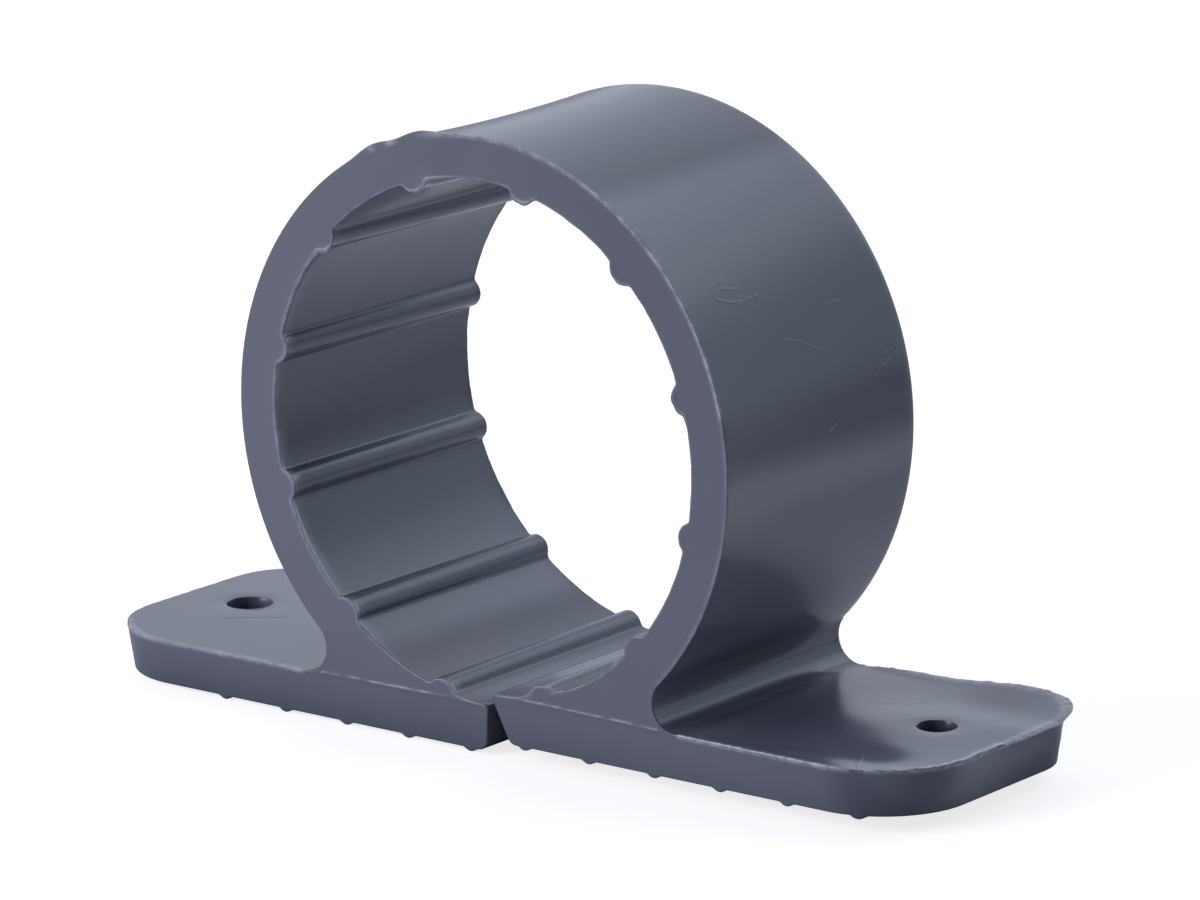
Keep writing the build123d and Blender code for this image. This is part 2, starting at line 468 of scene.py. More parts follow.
        # The third point from each end gives the way that the bore's wall leaves the slit
        left = self.slit_outline(LEFT, bore[2])
        right = self.slit_outline(RIGHT, bore[-3])
        places = []
        for along in spread(self.seam_along(LEFT, face), left[0][0], EDGE_PITCH)[:-1]:
            places.append((along, self.under[LEFT], "under", 0))
        places += [(x, z, "slit", pi) for x, z in left]
        places += [(x, z, "bore", turn) for (x, z), turn in zip(bore, turns)]
        places += [(x, z, "slit", pi) for x, z in right[::-1]]
        for along in spread(right[0][0], self.seam_along(RIGHT, face), EDGE_PITCH)[1:]:
            places.append((along, self.under[RIGHT], "under", 0))
        return Run(places, -1)

    def ridge(self, x):
        """How far the grip ridges stand down at a place along X."""
        side = RIGHT if x > self.slit else LEFT
        half = self.sizes.ridge_width / 2
        off = min(abs(x - place) for place in self.ridges[side]) / half
        return self.sizes.ridge_height * max(0, 1 - off**2)

    def lift(self, x, y):
        """How far the right foot's top stands up, with its curled lip, its crown and its gutter."""
        if x < self.crevice_x[RIGHT]:
            return 0
        inset = min(self.half_width - y, self.end[RIGHT] - x)
        radius = self.corner[BACK]
        past_x = x - (self.end[RIGHT] - radius)
        past_y = y - (self.half_width - radius)
        if past_x > 0 and past_y > 0:
            inset = radius - hypot(past_x, past_y)
        width = self.curl_width + self.curl_widening * step(x, *self.curl_widens)
        near = 1 - min(1, max(0, inset) / width)
        curl = self.flash.curl * rise(x, self.curl_x) * rise(y, self.curl_y) * near**2
        crown = self.sizes.crown * swell(x, *self.crown_x) * swell(y, *self.crown_y)
        gutter = self.sizes.gutter * swell(y, *self.gutter_y)
        gutter *= step(x, *self.gutter_starts) * (1 - step(x, *self.gutter_ends))
        return curl + crown - gutter


# A point of an edge: its place on the unrolled face, the part of the clip and the angle that it is at, and
# the direction in the face that leads out of the plastic
Spot = namedtuple("Spot", "along level part turn across up")


class Run:
    """Points along an edge of a face, with open air on the left of the way (1) or on its right (-1)."""

    def __init__(self, places, air):
        along, level, self.part, _ = zip(*places)
        across = np.gradient(along)
        up = np.gradient(level)
        size = np.hypot(across, up)
        self.normal = np.stack((-air * up / size, air * across / size), axis=1)
        self.spots = [Spot(*place, *normal) for place, normal in zip(places, self.normal)]

    def stretch(self, *parts):
        """Where the points on the given parts lie, which follow one another."""
        first = min(self.part.index(part) for part in parts)
        return slice(first, first + sum(part in parts for part in self.part))


JOIN_DISTANCE = 0.004 * MM  # points of two patches this near are one
SLIVER = 0.001 * MM  # faces narrower than this are taken out
SHARP_EDGE = radians(50)


class Skin:
    """Patches of the clip's surface, joined at the end where their edges meet."""

    def __init__(self):
        self.points = []
        self.marks = []
        self.faces = []

    def sheet(self, rows, marks=None, closed=False):
        """Adds a sheet of four-sided faces over rows of points."""
        rows = np.asarray(rows)
        start = len(self.points)
        count = rows.shape[1]
        self.points += [tuple(point) for point in rows.reshape(-1, 3)]
        if marks is None:
            marks = np.zeros(rows.shape[:2])
        self.marks += list(np.asarray(marks).reshape(-1))
        for row in range(rows.shape[0] - 1):
            here = start + row * count
            above = here + count
            for column in range(count if closed else count - 1):
                after = (column + 1) % count
                self.faces.append((here + column, here + after, above + after, above + column))

    def patch(self, points, faces):
        """Adds a patch of triangles, without flash."""
        start = len(self.points)
        self.points += [tuple(point) for point in points]
        self.marks += list(np.zeros(len(points)))
        self.faces += [tuple(start + corner for corner in face) for face in faces]

    def mesh(self, name):
        """The patches as one mesh, with the marks of the flash's paleness and its painted sheen kept on its
        points.
        """
        points = np.clip(np.array(self.points), CLIP_LOW, CLIP_HIGH)
        body = bmesh.new()
        # Marks of the flash's paleness: its own whitening, painted sheen and painted highlights
        layer = body.verts.layers.float.new("flash")
        corners = [body.verts.new(point) for point in points]
        for corner, mark in zip(corners, self.marks):
            corner[layer] = mark
        for face in self.faces:
            body.faces.new([corners[index] for index in face])
        bmesh.ops.remove_doubles(body, verts=body.verts, dist=JOIN_DISTANCE)
        bmesh.ops.dissolve_degenerate(body, dist=SLIVER, edges=body.edges)
        open_edges = [edge for edge in body.edges if len(edge.link_faces) != 2]
        if open_edges:
            where = open_edges[0].verts[0].co
            raise RuntimeError(f"The clip's skin has {len(open_edges)} open edges, one at {tuple(where)}")
        bmesh.ops.recalc_face_normals(body, faces=body.faces)
        mesh = bpy.data.meshes.new(name)
        body.to_mesh(mesh)
        body.free()
        mesh.polygons.foreach_set("use_smooth", np.ones(len(mesh.polygons), dtype=bool))
        mesh.set_sharp_from_angle(angle=SHARP_EDGE)
        return mesh


def inside(points, loops):
    """Which points lie inside the outer loop and outside the others."""
    points = np.asarray(points)
    found = np.zeros(len(points), dtype=bool)
    for loop in loops:
        loop = np.asarray(loop)
        for (x0, y0), (x1, y1) in zip(loop, np.roll(loop, -1, axis=0)):
            if y0 == y1:
                continue
            between_ends = (points[:, 1] > min(y0, y1)) & (points[:, 1] <= max(y0, y1))
            crossing = x0 + (points[:, 1] - y0) * (x1 - x0) / (y1 - y0)
            found ^= between_ends & (points[:, 0] < crossing)
    return found


def clear_points(points, loops, gap):
    """The points that lie inside the loops and at least a gap from their corners."""
    points = np.asarray(points)
    points = points[inside(points, loops)]
    near = np.full(len(points), np.inf)
    for loop in loops:
        for corner in np.asarray(loop):
            near = np.minimum(near, np.hypot(*(points - corner).T))
    return points[near > gap]


ROW_SHARE = 0.866  # distance between a lattice's staggered rows, as a share of its pitch


def lattice(loop, pitch):
    """Points in staggered rows over a loop's whole area."""
    low, high = np.min(loop, axis=0), np.max(loop, axis=0)
    points = []
    for row, y in enumerate(np.arange(low[1], high[1], pitch * ROW_SHARE)):
        for x in np.arange(low[0] + (row % 2) * pitch / 2, high[0], pitch):
            points.append((x, y))
    return np.array(points)


INSIDE_ONLY = 1  # asks the triangulation for the faces inside the loops alone
SAME_POINT = 1e-6  # in mm, points this near are one to the triangulation


def fill(loops, extra):
    """Points and triangles over the area inside the loops, with the extra points as corners too."""
    points = np.concatenate([np.asarray(loop) for loop in loops] + [np.asarray(extra).reshape(-1, 2)])
    edges = []
    start = 0
    for loop in loops:
        count = len(loop)
        edges += [(start + index, start + (index + 1) % count) for index in range(count)]
        start += count
    scaled = [Vector(point / MM) for point in points]
    _, _, faces, sources, _, _ = delaunay_2d_cdt(scaled, edges, [], INSIDE_ONLY, SAME_POINT)
    if any(not source for source in sources):
        raise RuntimeError("An outline of the clip crosses itself")
    source = [group[0] for group in sources]
    triangles = np.array([[source[corner] for corner in face] for face in faces])
    for hole in loops[1:]:
        triangles = triangles[~inside(points[triangles].mean(axis=1), [hole])]
    return points, triangles


NOISE_APART = 20 * MM  # the noises of the front and the back edge are taken this far on either side of 0

# Flash on the ring's front edge, by angle in degrees clockwise from the top. A step has its start and end,
# a hump its middle and half width, and a painted highlight its strength too
RING_ROUGHNESS = (0.6, ((0.5, 2.2 * MM, 1), (0.5, 0.6 * MM, 2)), 0.1)
RING_FLASH_STARTS = (-27, -16)
RING_FLASH_ENDS = (77, 78.5)
RING_FAINT = 0.1  # strength of the flash before its start
RING_LOSS = 0.8  # share of its strength that it loses past its end
RING_REACH = 1.5  # against its height
RING_HUMPS = ((-24.5, 7.5), (-13, 8))
RING_HUMP_HEIGHT = 0.42 * MM
# Paleness of the front edge, partly the flash's own whitening and partly painted sheen of an edge that
# catches light; the spots are painted highlights on the humps
RING_PALE_STARTS = (-16, -5)
RING_PAINTED_HIGHLIGHTS = ((1, -20, 2.4), (0.6, -25, 1.6))
RING_PALENESS = (0.5, 0.5)  # its even part, and the part that goes with the unevenness

# Flash on the ring's back edge: its height and its reach, against the front edge's height, and its paleness,
# partly painted sheen
RING_BACK = (0.3, 0.1, 0.1)


def ring_flash(form, face, turn):
    """Height, reach and paleness of the flash on the ring's outer edge, at an angle from the top; the
    paleness is partly painted sheen and highlights.
    """
    place = (turn * form.ring_radius, face * NOISE_APART, 0)
    ragged = rough(place, *RING_ROUGHNESS)
    if face == BACK:
        high, far, pale_and_sheen = RING_BACK
        return high * form.flash.ring * ragged, far * form.flash.ring, pale_and_sheen
    here = degrees(turn)
    kept = 1 - RING_LOSS * step(here, *RING_FLASH_ENDS)
    strong = RING_FAINT + (1 - RING_FAINT) * step(here, *RING_FLASH_STARTS) * kept
    height = form.flash.ring * strong * ragged
    height += sum(RING_HUMP_HEIGHT * swell(here, *hump) for hump in RING_HUMPS)
    # Paleness along the edge: the flash's own whitening and painted sheen
    pale_and_sheen = strong * step(here, *RING_PALE_STARTS)
    # Painted highlights on the humps
    for strength, middle, half_width in RING_PAINTED_HIGHLIGHTS:
        pale_and_sheen += strength * swell(here, middle, half_width)
    reach = RING_REACH * form.flash.ring * strong * ragged
    return height, reach, min(1, pale_and_sheen * partly(ragged, *RING_PALENESS))


# Flash on the feet's top edges, along X and Y. A step has its start and end, and the blob its middle and
# half width
FOOT_ROUGHNESS = (0.5, ((0.55, 2 * MM, 5), (0.5, 0.7 * MM, 6)), 0.08)
TORN_ROUGHNESS = (0.35, ((0.9, 1.2 * MM, 11), (0.6, 0.5 * MM, 12)), 0)
LIP_ROUGHNESS = (0.85, ((0.2, 2.2 * MM, 7),))
FRONT_ENDS_Y = (-12 * MM, -9 * MM)
BACK_STARTS_Y = (6 * MM, 9 * MM)
STRIP_STARTS_X = (17 * MM, 25 * MM)
STRIP_ENDS_X = (43.2 * MM, 43.7 * MM)
CORNER_STARTS_X = (43.7 * MM, 45 * MM)
LIP_BACK_X, LIP_BACK_Y = (23.5 * MM, 31 * MM), (12 * MM, 14 * MM)
LIP_END_X, LIP_END_Y = (44 * MM, 48 * MM), (-2 * MM, 3.5 * MM)
BLOB_X = (-46.3 * MM, 2.2 * MM)

# How strong and how much paler that flash is; the paleness is partly its own whitening and partly painted
# light, the glow through thin flash and sheen of edges that catch light. A pair has its even part, and the
# part that goes with the unevenness or, for a plain edge, is added at the back
PLAIN_STRENGTH = {LEFT: (0.4, -0.2), RIGHT: (0.2, 0.4)}
STRIP_STRENGTH = (0.55, 0.5)
CORNER_STRENGTH = 2.1
TORN_BACK_STRENGTH = 1.1
BLOB_STRENGTH = 2.2
LEFT_PALENESS = (0.35, 0.5)
CORNER_PALENESS = (0.45, 0.6)
LIP_PALENESS = 0.7
LIP_LOSS = 0.5  # share of its height that the flash loses on the lip
FOOT_REACH = 0.8  # against its height


def foot_flash(form, x, y):
    """Height, reach and paleness of the flash on a foot's top edge; the paleness is partly painted sheen."""
    place = (x, y, 0)
    ragged = rough(place, *FOOT_ROUGHNESS)
    front = 1 - step(y, *FRONT_ENDS_Y)
    back = step(y, *BACK_STARTS_Y)
    lip = 0
    if x > form.slit:
        # A strip along the front, torn flash on the front corner and at the back, and the lip
        strip = front * step(x, *STRIP_STARTS_X) * (1 - step(x, *STRIP_ENDS_X))
        corner = (1 - back) * step(x, *CORNER_STARTS_X)
        torn = rough(place, *TORN_ROUGHNESS)
        strip_strength = partly(ragged, *STRIP_STRENGTH)
        amount = ragged * partly(back, *PLAIN_STRENGTH[RIGHT])
        amount += strip * strip_strength
        amount += (CORNER_STRENGTH * corner + TORN_BACK_STRENGTH * back * torn) * torn
        along_back = step(x, *LIP_BACK_X) * step(y, *LIP_BACK_Y)
        along_end = step(y, *LIP_END_Y) * step(x, *LIP_END_X)
        lip = max(along_back, along_end) * rough(place, *LIP_ROUGHNESS)
        # Paleness of the strip, the torn corner and the lip: their own whitening and painted light, glow
        # through the thin lip and sheen of edges
        corner_pale = corner * min(1, partly(torn, *CORNER_PALENESS))
        pale_and_sheen = max(strip * min(1, strip_strength), corner_pale, LIP_PALENESS * lip)
    else:
        # A thin edge, with a blob at the front
        blob = front * swell(x, *BLOB_X)
        amount = ragged * partly(back, *PLAIN_STRENGTH[LEFT]) + BLOB_STRENGTH * blob
        # Paleness of the front edge and the blob: own whitening and painted sheen
        pale_and_sheen = front * min(1, partly(ragged, *LEFT_PALENESS) + blob)
    height = form.flash.foot * amount
    reach = FOOT_REACH * height * (1 - lip) + form.flash.lip * lip
    reach = min(reach, form.flash.lip + form.flash.room / 2)
    return height * (1 - LIP_LOSS * lip), reach, pale_and_sheen


# Flash on the bore's edge, where a pair has its even part and the part that goes with the unevenness
BORE_ROUGHNESS = (0.4, ((0.5, 1.8 * MM, 8), (0.4, 0.7 * MM, 9)))
BORE_LEAST = 0.05  # of its usual height
BORE_REACH = 0.3  # against its height
BORE_REACH_MOST = 0.08 * MM
# Paleness of the bore's edge, partly the flash's own whitening and partly painted sheen of an edge that
# catches light
BORE_PALENESS = (0.12, 0.25)

# Burr on the bore's front edge, which starts and ends between angles in degrees clockwise from the top
BURR_HEIGHT = 0.22 * MM
BURR_STRENGTH = (0.6, 0.5)
BURR_STARTS = (205, 225)
BURR_ENDS = (300, 310)

# Webs of flash at the front ends of the ribs: angle clockwise from the top, half width and height in mm
BORE_WEBS = (
    (308.6, 2.6, 0.5), (346, 3.4, 0.35), (285.5, 1.6, 0.35), (251, 1.6, 0.3), (189, 1.6, 0.4),
    (166.5, 1.8, 0.35), (159, 2.2, 0.4), (138, 3.2, 0.3), (13, 3, 0.25), (43, 3, 0.25), (73, 3, 0.25),
)
WEB_STRENGTH = (0.3, 1)
WEB_LEAST = 0.2


def bore_flash(form, face, turn):
    """Height, reach and paleness of the flash on the bore's edge, at an angle from the top; the paleness is
    partly painted sheen.
    """
    place = (turn * form.bore_radius, face * NOISE_APART, 0)
    ragged = rough(place, *BORE_ROUGHNESS)
    height = form.flash.bore * max(BORE_LEAST, ragged)
    if face == BACK:
        return height, BORE_REACH * height, 0
    here = degrees(turn) % 360
    burr = step(here, *BURR_STARTS) * (1 - step(here, *BURR_ENDS))
    height += BURR_HEIGHT * burr * min(1, partly(ragged, *BURR_STRENGTH))
    web_strength = max(WEB_LEAST, partly(ragged, *WEB_STRENGTH))
    for middle, half, web in BORE_WEBS:
        # Angle from the web's middle, the shorter way round
        away = (here - middle + 180) % 360 - 180
        height += web * MM * swell(radians(away) * form.bore_radius, 0, half * MM) * web_strength
    reach = min(BORE_REACH * height, BORE_REACH_MOST)
    return height, reach, partly(max(0, ragged), *BORE_PALENESS)


CREVICE_FLASH = (0.3, 0.2)  # height and reach of the flash in a crevice, against the feet's height


def edge_flash(form, face, spot):
    """Height, reach and paleness of the flash at a point of an edge; the paleness is partly painted sheen."""
    if spot.part == "ring":
        return ring_flash(form, face, spot.turn)
    if spot.part == "crevice":
        high, far = CREVICE_FLASH
        return high * form.flash.foot, far * form.flash.foot, 0
    if spot.part == "foot":
        return foot_flash(form, *form.on_rim(face, spot.along, 0))
    if spot.part == "bore":
        return bore_flash(form, face, spot.turn)
    return 0, 0, 0


# Edges of each part, in mm: how far back an edge begins on the surface beside it, how far it reaches onto
# the face, and the radius of its rounding
EDGES = {
    "foot": (0.8, 0.5, 0.16),
    "crevice": (0.8, 0.5, 0.16),
    "bore": (0.7, 0.25, 0.15),
    "slit": (0.5, 0.2, 0.15),
    "under": (0.35, 0.35, 0.2),
}
RING_EDGES = {FRONT: (0.25, 0.55, 0.07), BACK: (0.8, 0.55, 0.3)}

# Rows of an edge, from the surface beside it to the face: turn of the rounding in degrees, and the shares
# of the flash's height, of its reach and of the surface's own swell that a row takes
EDGE_ROWS = (
    (0, 0.5, 0, 1),
    (22, 0.85, 0.45, 1),
    (48, 1, 0.9, 1),
    (70, 0.6, 1, 0.85),
    (90, 0, 0.15, 0.3),
)


def edge_point(form, face, spot, outwards, forwards, own):
    """Place of a point that is moved out of an edge and forwards out of the face.

    It takes its own share of the lift or the ridge that the surface beside the edge has there.
    """
    along = spot.along + outwards * spot.across
    z = spot.level + outwards * spot.up
    x, y = form.on_rim(face, along, forwards - form.draft(along, z))
    if spot.part == "foot":
        z += own * form.lift(x, y)
    elif spot.part == "under":
        z -= own * form.ridge(x)
    return x, y, z


def add_edge(skin, form, face, run):
    """Adds an edge as rows of points, from the surface beside it to the face.

    Returns the first row, and the last row as places on the unrolled face.
    """
    rows = [[] for _ in range(len(EDGE_ROWS) + 2)]
    marks = [[] for _ in rows]
    border = []
    for spot in run.spots:
        edge = RING_EDGES[face] if spot.part == "ring" else EDGES[spot.part]
        margin, depth, rounding = [size * MM for size in edge]
        height, reach, pale_and_sheen = edge_flash(form, face, spot)
        rows[0].append(edge_point(form, face, spot, 0, -margin, 1))
        marks[0].append(0)
        for row, mark, (bend, high, far, own) in zip(rows[1:], marks[1:], EDGE_ROWS):
            outwards = rounding * (cos(radians(bend)) - 1) + high * height
            forwards = rounding * (sin(radians(bend)) - 1) + far * reach
            row.append(edge_point(form, face, spot, outwards, forwards, own))
            # The paleness that the row takes: own whitening and painted sheen
            mark.append(pale_and_sheen)
        along = spot.along - depth * spot.across
        z = spot.level - depth * spot.up
        x, y = form.on_rim(face, along, form.face_out(face, along, z))
        rows[-1].append((x, y, z))
        marks[-1].append(0)
        border.append((along, z))
    skin.sheet(rows, marks)
    return np.array(rows[0]), border


# Fineness of the faces: pitch of their points, room that the points leave at the border, and the rows of
# points along the parting line
FACE_PITCH = 1.3 * MM
FACE_ROOM = 0.6 * MM
PARTING_PITCH = 0.4 * MM
PARTING_ROOM = 0.12 * MM
PARTING_ROWS = (-0.45, -0.26, -0.12, 0, 0.12, 0.26, 0.45)  # in mm, over the line
PARTING_CLEAR = 0.8 * MM
RIM_SEAM_POINTS = 6


def add_face(skin, form, face, upper, lower):
    """Fills the front or back face between its upper and lower borders."""
    seam = {}
    for side, index in ((RIGHT, -1), (LEFT, 0)):
        high, low = upper[index], lower[index]
        parts = np.linspace(0, 1, RIM_SEAM_POINTS)[1:-1]
        seam[side] = [(high[0], high[1] + (low[1] - high[1]) * part) for part in parts]
    loop = upper + seam[RIGHT] + lower[::-1] + seam[LEFT][::-1]
    line = []
    for x in spread(form.crevice_x[LEFT], form.crevice_x[RIGHT], PARTING_PITCH):
        line += [(x, form.parting(x) + off * MM) for off in PARTING_ROWS]
    line = clear_points(line, [loop], PARTING_ROOM)
    grid = clear_points(lattice(loop, FACE_PITCH), [loop], FACE_ROOM)
    grid = np.array([(x, z) for x, z in grid if abs(z - form.parting(x)) > PARTING_CLEAR])
    points, triangles = fill([loop], np.concatenate((line, grid)))
    placed = []
    for along, level in points:
        x, y = form.on_rim(face, along, form.face_out(face, along, level))
        placed.append((x, y, level))
    skin.patch(placed, triangles)


HOLE_POINTS = 48

# Rows round a screw hole's wall, in mm: how much wider they are, and how far below the top or above the
# underside they lie
HOLE_TOP_WIDER = 0.12
HOLE_UNDER_WIDER = 0.3
HOLE_TOP_ROWS = ((HOLE_TOP_WIDER, 0), (0.04, 0.02), (0, 0.1))
HOLE_PLAIN_DEPTH = 1.5
HOLE_UNDER_ROWS = ((0, HOLE_PLAIN_DEPTH), (0, 0.3), (0.06, 0.06))


def hole_loop(form, side, wider):
    """Points round a screw hole, from above, wider than its wall by some millimetres."""
    x, y = form.hole[side]
    radius = form.hole_radius[side] + wider * MM
    turns = np.linspace(0, 2 * pi, HOLE_POINTS, endpoint=False)
    return [(x + radius * cos(t), y + radius * sin(t)) for t in turns]


def add_hole(skin, form, side):
    """Adds the wall of a screw hole, with its edges rounded."""
    top, under = form.top[side], form.under[side]
    rows = []
    for wider, depth in HOLE_TOP_ROWS:
        loop = hole_loop(form, side, wider)
        rows.append([(x, y, top - depth * MM + form.lift(x, y)) for x, y in loop])
    rows.append([(x, y, top - HOLE_PLAIN_DEPTH * MM) for x, y in hole_loop(form, side, 0)])
    for wider, height in HOLE_UNDER_ROWS:
        rows.append([(x, y, under + height * MM) for x, y in hole_loop(form, side, wider)])
    rows.append([(x, y, under - form.ridge(x)) for x, y in hole_loop(form, side, HOLE_UNDER_WIDER)])
    skin.sheet(rows, closed=True)


# Fineness of the feet: pitches of the points on them, room that the points leave at the border, rows inside
# the rim of a top in mm, and columns over a ridge as shares of its width
TOP_PITCH = 1.2 * MM
TOP_ROOM = 1.6 * MM
RIM_PITCH = 0.7 * MM
RIM_ROOM = 0.25 * MM
RIM_ROWS = (1.15, 1.6, 2.2)
UNDER_PITCH_X, UNDER_PITCH_Y = 1.6 * MM, 1.1 * MM
UNDER_ROOM = 0.3 * MM
RIDGE_ROOM = 1.0 * MM
RIDGE_COLUMNS = (-0.5, -0.34, -0.2, -0.07, 0.07, 0.2, 0.34, 0.5)


def top_grid(form, side, loops):
    """Points over a foot's top: an even lattice, and rows inside its rim."""
    rim = []
    for face in FACES:
        for along in spread(form.crevice_x[side], form.seam_along(side, face), RIM_PITCH)[1:]:
            rim += [form.on_rim(face, along, -row * MM) for row in RIM_ROWS]
    even = clear_points(lattice(loops[0], TOP_PITCH), loops, TOP_ROOM)
    return np.concatenate((even, clear_points(rim, loops, RIM_ROOM)))


def under_grid(form, side, loops):
    """Points over a foot's underside: columns over each ridge, and even ones between the ridges."""
    ridges = form.ridges[side]
    places = [x for x, y in loops[0]]
    columns = []
    for x in spread(min(places), max(places), UNDER_PITCH_X):
        if all(abs(x - ridge) > RIDGE_ROOM for ridge in ridges):
            columns.append(x)
    for ridge in ridges:
        columns += [ridge + part * form.sizes.ridge_width for part in RIDGE_COLUMNS]
    grid = [(x, y) for x in columns for y in spread(-form.half_width, form.half_width, UNDER_PITCH_Y)]
    return clear_points(grid, loops, UNDER_ROOM)


KEY_STEPS = 1e8  # to the metre


def spot_key(x, y):
    """Place from above in whole steps, by which a rim's point is known again."""
    return round(x * KEY_STEPS), round(y * KEY_STEPS)


def add_foot(skin, form, side, rims, column, is_top):
    """Fills a foot's top or underside between its rims, the ring and the screw hole."""
    front, back = rims[FRONT], rims[BACK]
    if side == LEFT:
        front, back = front[::-1], back[::-1]
    loop = [tuple(point[:2]) for point in front]
    loop += [tuple(point[:2]) for point in back[::-1]][1:]
    loop += [tuple(point[:2]) for point in column[::-1]][1:-1]
    loops = [loop, hole_loop(form, side, HOLE_TOP_WIDER if is_top else HOLE_UNDER_WIDER)]
    grid = top_grid(form, side, loops) if is_top else under_grid(form, side, loops)
    points, triangles = fill(loops, grid)
    heights = {spot_key(x, y): z for x, y, z in np.concatenate((front, back, column))}
    placed = []
    for x, y in points:
        z = form.top[side] + form.lift(x, y) if is_top else form.under[side] - form.ridge(x)
        placed.append((x, y, heights.get(spot_key(x, y), z)))
    skin.patch(placed, triangles)


WAYS_ACROSS = np.linspace(0, 1, 27)  # shares of the way from front to back at which rows of points lie
WAIST_BLENDING = 12  # rounds of smoothing by which the waist fades out at the crevices


def bridge(edges, stretches):
    """Rows of points from a stretch of the front edge straight to the same stretch of the back edge."""
    front = edges[FRONT][stretches[FRONT]]
    back = edges[BACK][stretches[BACK]]
    return np.array([front + (back - front) * part for part in WAYS_ACROSS])


def waist(form, run, stretch):
    """How the ring's outside is moved at the waist, for rows of points across it."""
    drawn = np.array([0.0 if part == "crevice" else 1.0 for part in run.part[stretch]])
    for _ in range(WAIST_BLENDING):
        drawn[1:-1] = (drawn[:-2] + drawn[1:-1] + drawn[2:]) / 3
    drawn[0] = drawn[-1] = 0
    normal = run.normal[stretch]
    moves = []
    for part in WAYS_ACROSS:
        depth = -form.sizes.waist * (1 - (2 * part - 1) ** 2) * drawn
        moves.append(np.stack((normal[:, 0] * depth, 0 * depth, normal[:, 1] * depth), axis=1))
    return np.array(moves)


def mould(form):
    """The clip's whole skin."""
    skin = Skin()
    upper = {face: form.upper_run(face) for face in FACES}
    lower = {face: form.lower_run(face) for face in FACES}
    upper_edges, lower_edges = {}, {}
    for face in FACES:
        upper_edges[face], upper_border = add_edge(skin, form, face, upper[face])
        lower_edges[face], lower_border = add_edge(skin, form, face, lower[face])
        add_face(skin, form, face, upper_border, lower_border)

    # Ring's outside with the crevices, then the bore with its ribs and the slit's faces
    outer = {face: upper[face].stretch("crevice", "ring") for face in FACES}
    outside = bridge(upper_edges, outer) + waist(form, upper[FRONT], outer[FRONT])
    skin.sheet(outside)
    inner = {face: lower[face].stretch("slit", "bore") for face in FACES}
    bore = bridge(lower_edges, inner)
    skin.sheet(bore)

    # Feet, each with its top, its underside and its screw hole
    for side in SIDES:
        for edges, stretches, sheet, is_top in (
            (upper_edges, outer, outside, True),
            (lower_edges, inner, bore, False),
        ):
            rims = {}
            for face in FACES:
                if side == LEFT:
                    rims[face] = edges[face][: stretches[face].start + 1]
                else:
                    rims[face] = edges[face][stretches[face].stop - 1:]
            column = sheet[:, 0] if side == LEFT else sheet[:, -1]
            add_foot(skin, form, side, rims, column, is_top)
        add_hole(skin, form, side)
    return skin


# Scratches on the ring's outside: angle clockwise from the top in degrees, and place along the pipe in mm
RING_SCRATCHES = (
    ((55.6, -11.5), (53.9, -9), (52.6, -7.2)),
    ((55.3, -8.6), (56, -6.2)),
    ((57.2, -9.8), (58.5, -7.2), (58.2, -4)),
    ((63.3, 5.1), (63.6, 7.2)),
    ((67.4, -2.6), (68.9, -0.4), (71.4, 2.4)),
    ((76.4, 9.3), (74.9, 12.8)),
    ((78, 10.1), (76.1, 13.4)),
    ((86.3, 1.6), (85.5, 2.7)),
)

# Tear in the flash on the right foot's front corner, along X and Y in mm
FOOT_TEARS = (((41.2, -9.3), (42.1, -11.1), (43.4, -13.3)),)

# Fine dents in the feet's tops, along X and Y in mm
FOOT_DENTS = (
    ((32.4, 4.3), (35.8, 5.9), (36.6, 8.5), (36.1, 14.7)),
    ((-41.7, -5.2), (-39.2, -2.9), (-36.6, -1.1)),
)

SCRATCH_WIDTH = 0.22 * MM
DENT_WIDTH = 0.2 * MM
SCRATCH_STRAY = 0.25 * MM  # how far a scratch strays from its straight line


def on_ring(form, turn, along):
    """Place on the ring's outside, from an angle in degrees and a place along the pipe in mm."""
    part = along * MM / form.half_width
    reach = form.ring_radius - form.sizes.waist * (1 - part**2)
    return reach * sin(radians(turn)), along * MM, form.axis + reach * cos(radians(turn))


def on_foot(form, x, y):
    """Place on a foot's top, from places along X and Y in mm."""
    side = RIGHT if x > 0 else LEFT
    return x * MM, y * MM, form.top[side] + form.lift(x * MM, y * MM)


def feed(tree, value, socket):
    """Links another node's output to a socket, or sets the socket to a plain value."""
    if isinstance(value, bpy.types.NodeSocket):
        tree.links.new(value, socket)
    else:
        socket.default_value = value


def maths(tree, operation, *values, clamp=False):
    """Result of a sum with numbers, each a plain value or another node's output."""
    made = tree.nodes.new("ShaderNodeMath")
    made.operation = operation
    made.use_clamp = clamp
    for value, socket in zip(values, made.inputs):
        feed(tree, value, socket)
    return made.outputs["Value"]


def vector_maths(tree, operation, *values):
    """Result of a sum with vectors, which is a number for a dot product or a distance."""
    made = tree.nodes.new("ShaderNodeVectorMath")
    made.operation = operation
    sockets = (made.inputs["Vector"], made.inputs["Scale"]) if operation == "SCALE" else made.inputs
    for value, socket in zip(values, sockets):
        feed(tree, value, socket)
    return made.outputs["Value" if operation in ("DOT_PRODUCT", "DISTANCE") else "Vector"]


def ramp(tree, value, start, end, low, high, smooth=False):
    """Number that goes from low to high as a value goes from start to end."""
    made = tree.nodes.new("ShaderNodeMapRange")
    made.interpolation_type = "SMOOTHSTEP" if smooth else "LINEAR"
    feed(tree, value, made.inputs["Value"])
    feed(tree, start, made.inputs["From Min"])
    feed(tree, end, made.inputs["From Max"])
    feed(tree, low, made.inputs["To Min"])
    feed(tree, high, made.inputs["To Max"])
    return made.outputs["Result"]


